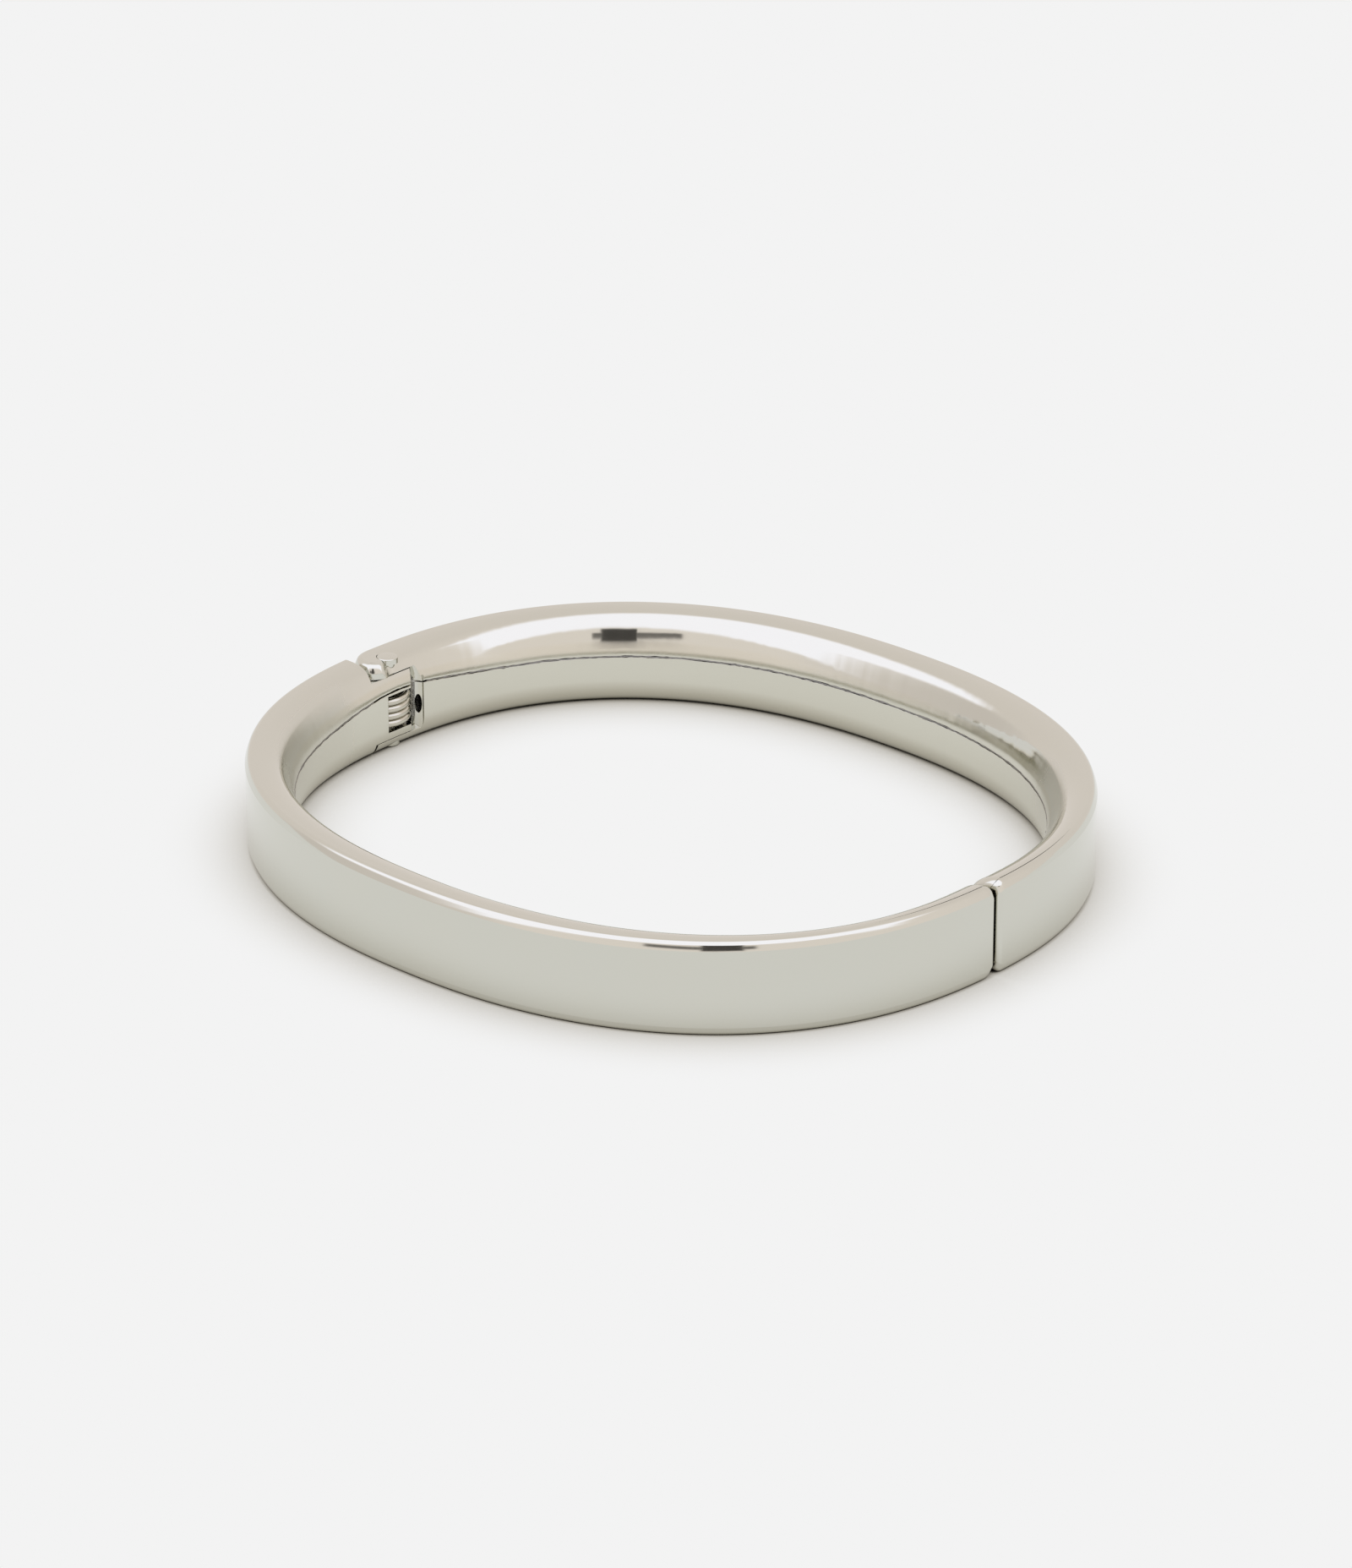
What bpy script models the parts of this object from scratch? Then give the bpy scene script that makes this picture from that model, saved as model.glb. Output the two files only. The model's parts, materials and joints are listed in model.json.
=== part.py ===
"""Hinged oval bangle: two hollow arms, a riveted spring hinge at -X and a plain closing gap at +X.

Units are metres, +Z is up. The origin is the centre of the oval on the plane it rests on. The long
axis is X, the fixed arm lies at -Y and the swinging arm at +Y. Each arm is an upper and a lower stamped
shell, soldered along a seam at half height. The swinging arm ends in two ears that take the tongue of
the fixed arm between them.
"""

import math

import bmesh
import bpy
from mathutils import Matrix, Vector

MM = 0.001

# Outline of the outer face in plan: a superellipse.
HALF_LENGTH = 32.5 * MM
HALF_WIDTH = 29.0 * MM
OUTLINE_POWER = 2.27
STATIONS = 64

# Cross-section: flat outer face, flat top and bottom, rounded shoulders towards the wrist.
HEIGHT = 7.45 * MM
THICKNESS = 3.8 * MM
WALL = 0.5 * MM
OUTER_FILLET = 0.8 * MM
TOP_FLAT_END = 2.36 * MM
SHOULDER_DROP = 2.5 * MM
FILLET_STEPS = 3
SHOULDER_STEPS = 5

# Seam between the upper and the lower shells: level round the arms, raised over the spring window.
SEAM_HEIGHT = 4.05 * MM
SEAM_RISE = 0.95 * MM
SEAM_RISE_WIDTH = 6.5 * MM
SEAM_GAP = 0.04 * MM
SEAM_STEPS = 24

# Closing gap at the mouth, and the fit between a shell and the piece soldered into it.
MOUTH_GAP = 0.30 * MM
SOLDER_FIT = 0.03 * MM
PLUG_RECESS = 0.05 * MM
PLUG_LENGTH = 1.2 * MM

# Hinge.
PIN_X = -30.05 * MM
EAR_RADIUS = 2.45 * MM
UPPER_EAR = 1.20 * MM
LOWER_EAR = 0.95 * MM
EAR_CLEARANCE = 0.10 * MM
EAR_ROOT_Y = 2.50 * MM
RECESS_Y = -2.65 * MM
TONGUE_RADIUS = 1.80 * MM
TONGUE_STOP_Y = 0.85 * MM
TONGUE_ROOT_Y = -6.5 * MM
END_PLATE_THICKNESS = 0.75 * MM

PIN_RADIUS = 0.55 * MM
PIN_HEAD_RADIUS = 0.85 * MM
PIN_HEAD_DEPTH = 0.45 * MM
PIN_HEAD_PROUD = 0.06 * MM
PIN_FOOT_RECESS = 0.05 * MM
PRESS_FIT = 0.03 * MM
RUNNING_FIT = 0.05 * MM
ROUND_SEGMENTS = 24

# Torsion spring and the openings it needs.
WIRE_RADIUS = 0.31 * MM
COIL_RADIUS = 1.09 * MM
COIL_PITCH = 0.70 * MM
COIL_TURNS = 3
COIL_TOP = 4.60 * MM
COIL_STEP_ANGLE = math.radians(20)
LEG_AIM = Vector((0.15 * MM, 2.9 * MM))
LEG_LENGTH = 4.4 * MM
WINDOW_BOTTOM = 1.65 * MM
WINDOW_TOP = 4.75 * MM
WINDOW_EDGE_Y = -1.30 * MM
SLOT_EDGE_Y = -2.00 * MM
SLOT_DEPTH_X = PIN_X - 1.70 * MM
LEG_BORE_RADIUS = 0.40 * MM
LEG_SLOT_WIDTH = 0.95 * MM
LEG_SLOT_BOTTOM = 1.60 * MM
LEG_SLOT_TOP = 3.80 * MM

FAR = 60 * MM
HINGE_SIDE_X = -20 * MM
OVERLAP = 5 * MM
WELD = 1e-6


def clear_scene():
    for obj in list(bpy.data.objects):
        bpy.data.objects.remove(obj, do_unlink=True)


def new_collection(name):
    collection = bpy.data.collections.new(name)
    bpy.context.scene.collection.children.link(collection)
    return collection


def new_material(name, colour, roughness):
    material = bpy.data.materials.new(name)
    material.use_nodes = True
    shader = material.node_tree.nodes["Principled BSDF"]
    shader.inputs["Base Color"].default_value = (*colour, 1.0)
    shader.inputs["Metallic"].default_value = 1.0
    shader.inputs["Roughness"].default_value = roughness
    return material


def add_object(name, mesh, collection, location=(0, 0, 0)):
    obj = bpy.data.objects.new(name, mesh)
    obj.location = location
    collection.objects.link(obj)
    return obj


def hide_cutter(obj):
    obj.hide_render = True
    obj.display_type = "WIRE"
    return obj


def shade_round(obj):
    obj.data.shade_smooth()
    obj.data.set_sharp_from_angle(angle=math.radians(35))


def boolean(obj, other, operation="DIFFERENCE", solver="EXACT"):
    modifier = obj.modifiers.new(f"{operation.lower()}_{other.name}", "BOOLEAN")
    modifier.operation = operation
    modifier.solver = solver
    modifier.object = other


def curve_to_mesh(curve_object, collection):
    """Replaces a curve object by a mesh object of the same name, with its caps welded on."""
    name = curve_object.name
    place = curve_object.matrix_world.copy()
    evaluated = curve_object.evaluated_get(bpy.context.evaluated_depsgraph_get())
    mesh = bpy.data.meshes.new_from_object(evaluated)
    bpy.data.objects.remove(curve_object, do_unlink=True)
    edit = bmesh.new()
    edit.from_mesh(mesh)
    bmesh.ops.remove_doubles(edit, verts=edit.verts, dist=WELD)
    bmesh.ops.recalc_face_normals(edit, faces=edit.faces)
    edit.to_mesh(mesh)
    edit.free()
    obj = add_object(name, mesh, collection)
    obj.matrix_world = place
    return obj


def poly_curve(name, points, cyclic, dimensions="3D"):
    curve = bpy.data.curves.new(name, "CURVE")
    curve.dimensions = dimensions
    spline = curve.splines.new("POLY")
    spline.points.add(len(points) - 1)
    for knot, point in zip(spline.points, points):
        knot.co = (*point, *(0.0,) * (3 - len(point)), 1.0)
    spline.use_cyclic_u = cyclic
    return curve


def box(name, low, high, collection):
    centre = (Vector(low) + Vector(high)) / 2
    size = Vector(high) - Vector(low)
    edit = bmesh.new()
    bmesh.ops.create_cube(edit, size=1.0, matrix=Matrix.Diagonal((*size, 1.0)))
    mesh = bpy.data.meshes.new(name)
    edit.to_mesh(mesh)
    edit.free()
    return add_object(name, mesh, collection, centre)


def cylinder(name, radius, bottom, top, collection):
    """An upright cylinder on the pin's axis."""
    edit = bmesh.new()
    bmesh.ops.create_cone(
        edit,
        cap_ends=True,
        segments=2 * ROUND_SEGMENTS,
        radius1=radius,
        radius2=radius,
        depth=top - bottom,
    )
    mesh = bpy.data.meshes.new(name)
    edit.to_mesh(mesh)
    edit.free()
    return add_object(name, mesh, collection, (PIN_X, 0, (bottom + top) / 2))


def outline_point(angle):
    """A point of the outer face in plan, at this polar angle."""
    along = abs(math.cos(angle) / HALF_LENGTH) ** OUTLINE_POWER
    across = abs(math.sin(angle) / HALF_WIDTH) ** OUTLINE_POWER
    radius = (along + across) ** (-1 / OUTLINE_POWER)
    return Vector((radius * math.cos(angle), radius * math.sin(angle)))


def quarter_arc(centre, radii, start, steps):
    """Points of a quarter ellipse, turning clockwise from the start angle."""
    points = []
    for step in range(steps + 1):
        angle = start - math.radians(90) * step / steps
        across = centre[0] + radii[0] * math.cos(angle)
        up = centre[1] + radii[1] * math.sin(angle)
        points.append((across, up))
    return points


def section_points(inset):
    """The closed cross-section moved inwards by inset: x runs from the outer face to the wrist, y is up."""
    fillet = max(OUTER_FILLET - inset, 0.1 * MM)
    drop = SHOULDER_DROP - inset
    reach = THICKNESS - inset - TOP_FLAT_END
    corner = inset + fillet
    shoulder_height = HEIGHT - SHOULDER_DROP
    west, north, east, south = (math.radians(a) for a in (180, 90, 0, -90))
    points = quarter_arc((corner, HEIGHT - corner), (fillet, fillet), west, FILLET_STEPS)
    points += quarter_arc((TOP_FLAT_END, shoulder_height), (reach, drop), north, SHOULDER_STEPS)
    points += quarter_arc((TOP_FLAT_END, SHOULDER_DROP), (reach, drop), east, SHOULDER_STEPS)
    points += quarter_arc((corner, corner), (fillet, fillet), south, FILLET_STEPS)
    return points


def swept_ring(name, inset, collection):
    """The cross-section swept once round the oval, as one solid ring."""
    profile = poly_curve(f"{name}_section", [(-x, y) for x, y in section_points(inset)], True, "2D")
    profile_object = add_object(f"{name}_section", profile, collection)
    angles = [math.tau * station / STATIONS for station in range(STATIONS)]
    path = poly_curve(name, [outline_point(angle) for angle in angles], True)
    path.twist_mode = "Z_UP"
    path.bevel_mode = "OBJECT"
    path.bevel_object = profile_object
    ring = curve_to_mesh(add_object(name, path, collection), collection)
    bpy.data.objects.remove(profile_object, do_unlink=True)
    return ring


def seam_height(y):
    return SEAM_HEIGHT + SEAM_RISE * math.exp(-((y / SEAM_RISE_WIDTH) ** 2))


def seam_side(name, side, collection):
    """Everything above (side 1) or below (side -1) the seam, less half the seam's gap, as a cutter."""
    outline = []
    for step in range(SEAM_STEPS + 1):
        y = -FAR + 2 * FAR * step / SEAM_STEPS
        y = math.copysign(abs(y / FAR) ** 1.6 * FAR, y)
        outline.append((y, seam_height(y) - side * SEAM_GAP / 2))
    outline += [(FAR, side * FAR), (-FAR, side * FAR)]
    curve = poly_curve(name, outline, True, "2D")
    curve.fill_mode = "BOTH"
    curve.extrude = FAR
    obj = add_object(name, curve, collection)
    # Stands the drawing up: its x becomes world Y, its y becomes world Z.
    obj.matrix_world = Matrix(((0, 0, 1, 0), (1, 0, 0, 0), (0, 1, 0, 0), (0, 0, 0, 1)))
    bpy.context.view_layer.update()
    return hide_cutter(curve_to_mesh(obj, collection))


def hinge_side(name, y_low, y_high, z_low, z_high, collection):
    """A cutter over the hinge's side of the oval only."""
    low = (-FAR, y_low, z_low)
    high = (HINGE_SIDE_X, y_high, z_high)
    return hide_cutter(box(name, low, high, collection))


def past_round_end(name, edge_y, radius, side, collection):
    """All beyond a line across the hinge (side 1: +Y, -1: -Y), except a disc round the pin's axis."""
    reach = math.asin(edge_y / radius)
    steps = ROUND_SEGMENTS
    outline = [(-FAR, edge_y)]
    for step in range(steps + 1):
        angle = math.pi - reach - (math.pi - 2 * reach) * step / steps
        outline.append((PIN_X + radius * math.cos(angle), side * radius * math.sin(angle)))
    right = HINGE_SIDE_X + OVERLAP
    outline += [(right, edge_y), (right, side * FAR), (-FAR, side * FAR)]
    curve = poly_curve(name, outline, True, "2D")
    curve.fill_mode = "BOTH"
    curve.extrude = FAR
    return hide_cutter(curve_to_mesh(add_object(name, curve, collection), collection))


def make_cutters(collection):
    """Every cutter that more than one piece uses, by name."""
    mouth_low, mouth_high = HINGE_SIDE_X, FAR
    tongue_bottom = LOWER_EAR + EAR_CLEARANCE
    tongue_top = HEIGHT - UPPER_EAR - EAR_CLEARANCE
    return {
        "cavity": hide_cutter(swept_ring("cut_cavity", WALL, collection)),
        "above_seam": seam_side("cut_above_seam", 1, collection),
        "below_seam": seam_side("cut_below_seam", -1, collection),
        "front_region": hide_cutter(
            box("cut_front_region", (mouth_low, -FAR, -FAR), (mouth_high, MOUTH_GAP / 2, FAR), collection)
        ),
        "back_region": hide_cutter(
            box("cut_back_region", (mouth_low, -MOUTH_GAP / 2, -FAR), (mouth_high, FAR, FAR), collection)
        ),
        "past_ears": past_round_end("cut_past_ears", 0.0, EAR_RADIUS, -1, collection),
        "past_tongue": past_round_end("cut_past_tongue", TONGUE_STOP_Y, TONGUE_RADIUS, 1, collection),
        "between_ears": hinge_side(
            "cut_between_ears", -OVERLAP, EAR_ROOT_Y, LOWER_EAR, HEIGHT - UPPER_EAR, collection
        ),
        "hollow_limit": hinge_side("cut_hollow_limit", -FAR, EAR_ROOT_Y, -FAR, FAR, collection),
        "over_tongue": hinge_side("cut_over_tongue", RECESS_Y, FAR, tongue_top, FAR, collection),
        "under_tongue": hinge_side("cut_under_tongue", RECESS_Y, FAR, -FAR, tongue_bottom, collection),
    }


def ring_part(name, inset, material, parts):
    """A visible piece that starts as the whole ring, to be cut down by its modifiers."""
    piece = swept_ring(name, inset, parts)
    piece.data.materials.append(material)
    shade_round(piece)
    return piece


def make_shell(name, material, upper, trims, parts, cut, cavity):
    """Half of a hollow arm: the ring, less its cavity, the other half and the other arm."""
    shell = ring_part(name, 0.0, material, parts)
    boolean(shell, cavity)
    boolean(shell, cut["below_seam" if upper else "above_seam"])
    for trim in trims:
        boolean(shell, cut[trim], solver="MANIFOLD")
    return shell


def make_slice(name, material, low, high, parts, cutters):
    """A plug for the hollow of an arm: the solid ring at the cavity's size, kept inside one box."""
    piece = ring_part(name, WALL + SOLDER_FIT, material, parts)
    keep = hide_cutter(box(f"keep_{piece.name}", low, high, cutters))
    boolean(piece, keep, "INTERSECT")
    return piece


def make_mouth_plug(name, material, side, parts, cutters):
    """End cap of one arm at the mouth; side is -1 for the fixed arm and 1 for the swinging one."""
    near = side * (MOUTH_GAP / 2 + PLUG_RECESS)
    far = near + side * PLUG_LENGTH
    low = (-HINGE_SIDE_X, min(near, far), -FAR)
    high = (FAR, max(near, far), FAR)
    return make_slice(name, material, low, high, parts, cutters)


def leg_line(side):
    """Where a leg leaves the coil and its unit direction, in plan, relative to the pin's axis."""
    aim = LEG_AIM.copy()
    lift = math.atan2(aim.y, aim.x) - math.acos(COIL_RADIUS / aim.length)
    start = Vector((COIL_RADIUS * math.cos(lift), COIL_RADIUS * math.sin(lift)))
    direction = (aim - start).normalized()
    return Vector((start.x, side * start.y)), Vector((direction.x, side * direction.y)), lift


def coil_height(turned):
    """Height of the wire's centre after this much turning from the upper leg."""
    return COIL_TOP - WIRE_RADIUS - COIL_PITCH * turned / math.tau


def make_spring(material, parts):
    """Close-wound coil: in along the upper leg, round and down, out along the lower leg."""
    start, direction, lift = leg_line(1)
    turning = COIL_TURNS * math.tau + 2 * lift
    steps = round(turning / COIL_STEP_ANGLE)
    in_start, in_direction, _ = leg_line(-1)
    in_end = in_start + in_direction * LEG_LENGTH
    out_end = start + direction * LEG_LENGTH
    points = [(in_end.x, in_end.y, coil_height(0))]
    for step in range(steps + 1):
        turned = turning * step / steps
        angle = turned - lift
        points.append((COIL_RADIUS * math.cos(angle), COIL_RADIUS * math.sin(angle), coil_height(turned)))
    points.append((out_end.x, out_end.y, coil_height(turning)))
    curve = poly_curve("torsion_spring", points, False)
    curve.bevel_depth = WIRE_RADIUS
    curve.bevel_resolution = 2
    curve.use_fill_caps = True
    curve.materials.append(material)
    return add_object("torsion_spring", curve, parts, (PIN_X, 0, 0))


def make_pin(material, parts):
    """Riveted pin, turned about its axis: domed head over the upper ear, flush one under the lower."""
    top = HEIGHT + PIN_HEAD_PROUD
    edge = 0.12 * MM
    profile = [
        (0, top),
        (PIN_HEAD_RADIUS - edge, top),
        (PIN_HEAD_RADIUS, top - edge),
        (PIN_HEAD_RADIUS, HEIGHT - PIN_HEAD_DEPTH),
        (PIN_RADIUS, HEIGHT - PIN_HEAD_DEPTH),
        (PIN_RADIUS, PIN_HEAD_DEPTH),
        (PIN_HEAD_RADIUS, PIN_HEAD_DEPTH),
        (PIN_HEAD_RADIUS, PIN_FOOT_RECESS),
        (0, PIN_FOOT_RECESS),
    ]
    edit = bmesh.new()
    knots = [edit.verts.new((x, 0, z)) for x, z in profile]
    for a, b in zip(knots, knots[1:]):
        edit.edges.new((a, b))
    mesh = bpy.data.meshes.new("hinge_pin")
    edit.to_mesh(mesh)
    edit.free()
    pin = add_object("hinge_pin", mesh, parts, (PIN_X, 0, 0))
    turn = pin.modifiers.new("turn", "SCREW")
    turn.steps = ROUND_SEGMENTS
    turn.render_steps = ROUND_SEGMENTS
    turn.use_merge_vertices = True
    turn.merge_threshold = WELD
    turn.use_smooth_shade = True
    mesh.materials.append(material)
    return pin


def cut_pin_holes(shell, upper, cutters):
    """Hole and counterbore for the riveted pin in one ear."""
    hole = hide_cutter(cylinder(f"cut_hole_{shell.name}", PIN_RADIUS + PRESS_FIT, -FAR, FAR, cutters))
    depth = PIN_HEAD_DEPTH + PRESS_FIT
    low, high = (HEIGHT - depth, FAR) if upper else (-FAR, depth)
    seat = hide_cutter(cylinder(f"cut_seat_{shell.name}", PIN_HEAD_RADIUS + PRESS_FIT, low, high, cutters))
    boolean(shell, hole)
    boolean(shell, seat)


def make_hinge_block(material, parts, cutters, cut):
    """Solid tongue inside the fixed arm: two knuckles for the pin and the coil's slot between them."""
    low = (-FAR, TONGUE_ROOT_Y, -FAR)
    high = (HINGE_SIDE_X, FAR, FAR)
    block = make_slice("front_hinge_block", material, low, high, parts, cutters)
    slot_low = (SLOT_DEPTH_X, SLOT_EDGE_Y, WINDOW_BOTTOM)
    slot_high = (HINGE_SIDE_X, OVERLAP, WINDOW_TOP)
    slot = hide_cutter(box("cut_spring_slot", slot_low, slot_high, cutters))
    hole = hide_cutter(cylinder("cut_knuckle_hole", PIN_RADIUS + RUNNING_FIT, -FAR, FAR, cutters))
    for cutter in (cut["past_tongue"], cut["over_tongue"], cut["under_tongue"], slot, hole):
        boolean(block, cutter)
    boolean(block, leg_bore(cutters))
    return block


def leg_bore(cutters):
    """Bore that the upper leg lies in, drilled into the tongue from the coil's slot."""
    start, direction, _ = leg_line(-1)
    length = LEG_LENGTH + 0.3 * MM
    edit = bmesh.new()
    bmesh.ops.create_cone(
        edit,
        cap_ends=True,
        segments=ROUND_SEGMENTS,
        radius1=LEG_BORE_RADIUS,
        radius2=LEG_BORE_RADIUS,
        depth=length,
        matrix=Matrix.Translation((0, 0, length / 2)),
    )
    mesh = bpy.data.meshes.new("cut_leg_bore")
    edit.to_mesh(mesh)
    edit.free()
    bore = add_object("cut_leg_bore", mesh, cutters, (PIN_X + start.x, start.y, coil_height(0)))
    bore.rotation_euler = direction.to_3d().to_track_quat("Z", "Y").to_euler()
    return hide_cutter(bore)


def make_end_plate(material, parts, cutters):
    """Bulkhead in the swinging arm's end, with the slot that the lower leg passes through."""
    near = EAR_ROOT_Y + PLUG_RECESS
    low = (-FAR, near, -FAR)
    high = (HINGE_SIDE_X, near + END_PLATE_THICKNESS, FAR)
    plate = make_slice("back_end_plate", material, low, high, parts, cutters)
    centre = PIN_X + LEG_AIM.x
    slot_low = (centre - LEG_SLOT_WIDTH / 2, 0, LEG_SLOT_BOTTOM)
    slot_high = (centre + LEG_SLOT_WIDTH / 2, 2 * OVERLAP, LEG_SLOT_TOP)
    boolean(plate, hide_cutter(box("cut_leg_slot", slot_low, slot_high, cutters)))
    return plate


def main():
    clear_scene()
    parts = new_collection("oval_bangle")
    cutters = new_collection("cutters")
    polished = new_material("polished_silver_plate", (0.80, 0.79, 0.76), 0.06)
    satin = new_material("satin_silver_plate", (0.74, 0.73, 0.70), 0.22)
    spring_steel = new_material("spring_steel", (0.62, 0.62, 0.61), 0.18)

    cut = make_cutters(cutters)
    back_cavity = hide_cutter(swept_ring("cut_back_cavity", WALL, cutters))
    boolean(back_cavity, cut["hollow_limit"])

    front_trims = ["back_region", "past_tongue", "over_tongue", "under_tongue"]
    back_trims = ["front_region", "past_ears", "between_ears"]
    make_shell("front_upper_shell", polished, True, front_trims, parts, cut, cut["cavity"])
    lower = make_shell("front_lower_shell", polished, False, front_trims, parts, cut, cut["cavity"])
    window_low = (PIN_X, WINDOW_EDGE_Y, WINDOW_BOTTOM)
    window_high = (HINGE_SIDE_X, OVERLAP, WINDOW_TOP)
    boolean(lower, hide_cutter(box("cut_spring_window", window_low, window_high, cutters)))
    for name, upper in (("back_upper_shell", True), ("back_lower_shell", False)):
        shell = make_shell(name, polished, upper, back_trims, parts, cut, back_cavity)
        cut_pin_holes(shell, upper, cutters)

    make_mouth_plug("front_mouth_plug", satin, -1, parts, cutters)
    make_mouth_plug("back_mouth_plug", satin, 1, parts, cutters)
    make_hinge_block(satin, parts, cutters, cut)
    make_end_plate(satin, parts, cutters)
    make_pin(polished, parts)
    make_spring(spring_steel, parts)


main()
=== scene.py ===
"""Looks of the oval hinged bangle: fine skins, rivet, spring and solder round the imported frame.

Metres, +Z up, in the frame's own axes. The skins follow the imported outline; each is a half-height hollow
shell swept along its arm, and the same sweep, drawn smaller, hollows it out.
"""

import json
import math

import bmesh
import bpy
import numpy as np
from mathutils import Matrix, Vector, noise


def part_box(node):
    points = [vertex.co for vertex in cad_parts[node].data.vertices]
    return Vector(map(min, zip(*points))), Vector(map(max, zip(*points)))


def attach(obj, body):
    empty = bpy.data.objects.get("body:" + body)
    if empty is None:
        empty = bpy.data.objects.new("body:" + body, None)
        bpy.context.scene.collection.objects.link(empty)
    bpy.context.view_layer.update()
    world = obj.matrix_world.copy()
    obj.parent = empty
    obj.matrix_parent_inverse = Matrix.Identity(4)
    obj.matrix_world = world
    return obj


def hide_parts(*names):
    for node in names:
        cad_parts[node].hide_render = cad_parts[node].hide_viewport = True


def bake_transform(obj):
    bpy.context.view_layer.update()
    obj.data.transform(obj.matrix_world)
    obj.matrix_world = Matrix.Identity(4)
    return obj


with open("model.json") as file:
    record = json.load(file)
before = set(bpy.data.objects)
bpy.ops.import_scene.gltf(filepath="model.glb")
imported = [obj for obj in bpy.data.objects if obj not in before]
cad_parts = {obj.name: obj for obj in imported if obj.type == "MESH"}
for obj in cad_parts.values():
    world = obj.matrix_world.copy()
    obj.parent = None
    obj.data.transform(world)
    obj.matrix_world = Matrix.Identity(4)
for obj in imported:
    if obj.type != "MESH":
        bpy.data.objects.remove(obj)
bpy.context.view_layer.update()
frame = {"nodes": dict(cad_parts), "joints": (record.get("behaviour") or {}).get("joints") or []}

MM = 0.001

# Outline and height come from the frame; the power of the superellipse is the design's own.
SHELL_LOW, SHELL_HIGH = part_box("back_upper_shell")
FRONT_LOW, FRONT_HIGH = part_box("front_lower_shell")
HALF_LENGTH = (FRONT_HIGH.x - SHELL_LOW.x) / 2
HALF_WIDTH = (SHELL_HIGH.y - FRONT_LOW.y) / 2
OUTLINE_POWER = 2.27
HEIGHT = SHELL_HIGH.z
PIN = Vector(frame["joints"][0]["pos_m"])
PIN_LOW, PIN_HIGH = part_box("hinge_pin")

# Cross-section.
WALL = 0.50 * MM
UPPER_THICKNESS = 3.72 * MM
LOWER_THICKNESS = 3.76 * MM
EDGE_ARCS = ((0, 18.5, 0.1 * MM), (18.5, 23, 6.0 * MM), (23, 72, 0.43 * MM), (72, 90, 0.5 * MM))
SHOULDER_ARCS = ((15, 18.5, 25.8 * MM), (18.5, 23, 11.0 * MM), (23, 72, 1.45 * MM), (72, 90, 3.5 * MM))
MOUTH_ARCS = ((31, 35, 28.0 * MM), (35, 72, 3.0 * MM), (72, 90, 2.0 * MM))
MOUTH_SLOPE_END = 42 * MM
BOTTOM_ARCS = ((0, 30, 3.0 * MM), (30, 90, 1.00 * MM))
WALL_ABOVE_SEAM = 0.10 * MM
TILTS = 64
SUPPORT = 0.03 * MM
PLUG_FIT = 0.03 * MM

# Seam between the halves.
SEAM_HEIGHT = 4.05 * MM
SEAM_RISE = 0.95 * MM
SEAM_RISE_WIDTH = 6.5 * MM
SEAM_GAP = 0.13 * MM
SEAM_WANDER = 0.055 * MM
NEAR_SEAM = 0.6 * MM
PAST_SEAM = 1.0 * MM
LEDGE_ROUND = 0.03 * MM
LIP_ROUND = 0.03 * MM

# Mouth and hinge.
MOUTH_GAP = 0.40 * MM
FRONT_MOUTH_ROUND = (0.35 * MM, 1.00 * MM)
BACK_MOUTH_ROUND = (0.45 * MM, 0.70 * MM)
PLUG_RECESS = 0.05 * MM
PLUG_LENGTH = 1.2 * MM
EAR_RADIUS = 2.45 * MM
EAR_TIP = 2.42 * MM
EAR_OUTER_POWER = 2.4
EAR_INNER_POWER = 1.85
LOWER_EAR_REACH = 2.50 * MM
LOWER_RECESS_Y = -2.58 * MM
UPPER_EAR = 1.20 * MM
LOWER_EAR = 0.95 * MM
EAR_CLEARANCE = 0.07 * MM
EAR_ROOT_Y = 2.50 * MM
RECESS_Y = -2.65 * MM
TONGUE_RADIUS = 1.80 * MM
TONGUE_STOP_Y = 0.85 * MM
WINDOW_EDGE_Y = -1.30 * MM
WINDOW_BOTTOM = 1.65 * MM
WINDOW_TOP = 4.75 * MM

# Rivet and spring.
PIN_RADIUS = 0.55 * MM
HEAD_RADIUS = 0.84 * MM
HEAD_DEPTH = 0.45 * MM
SEAT_RADIUS = 0.88 * MM
RIVET_FIT = 0.01 * MM
WIRE_RADIUS = 0.298 * MM
COIL_REACH = Vector((1.17 * MM, 1.42 * MM))
COIL_SHIFT = 0.20 * MM
COIL_PITCH = 0.61 * MM
COIL_TURNS = 4
COIL_TOP = 4.69 * MM
LEG_LENGTH = 4.0 * MM
HOLE_AT = Vector((-29.03 * MM, 3.0 * MM))
HOLE_REACH = (0.24 * MM, 0.80 * MM)
BEVEL_START_X = -29.50 * MM
BEVEL_SLOPE = 0.74
BEVEL_LENGTH = 4 * MM
STEP_Y = 1.93 * MM
SCORE = (2.50 * MM, 2.59 * MM)
SCORE_DEPTH = 0.10 * MM
PLATE_THICKNESS = 1.80 * MM

STATION_STEP = 0.30 * MM
OUTLINE_THINNING = 12
VERTEX_BATCH = 4000
NOSE_STEPS = 44
CORNER_STEPS = 14
FAR = 60 * MM
HINGE_SIDE_X = -20 * MM

# Camera and stage.
CAMERA_PLACE = Vector((0.3062577, -0.3312202, 0.2077746))
CAMERA_TARGET = Vector((-0.0023825, 0.0033784, 0.0037247))
CAMERA_ROLL = math.radians(-0.11)
CAMERA_LENS = 149.95
CAMERA_AZIMUTH = 42.7
BACKDROP = 0.896
# Painted shade on the glowing floor near the ring: its reach, its darkest share and its warm tint.
SHADE_REACH = 7.5 * MM
SHADE_FULL = 0.15
SHADE_TINT = (1.0, 0.90, 0.70)


# ---------------------------------------------------------------- outline and cross-section

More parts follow.
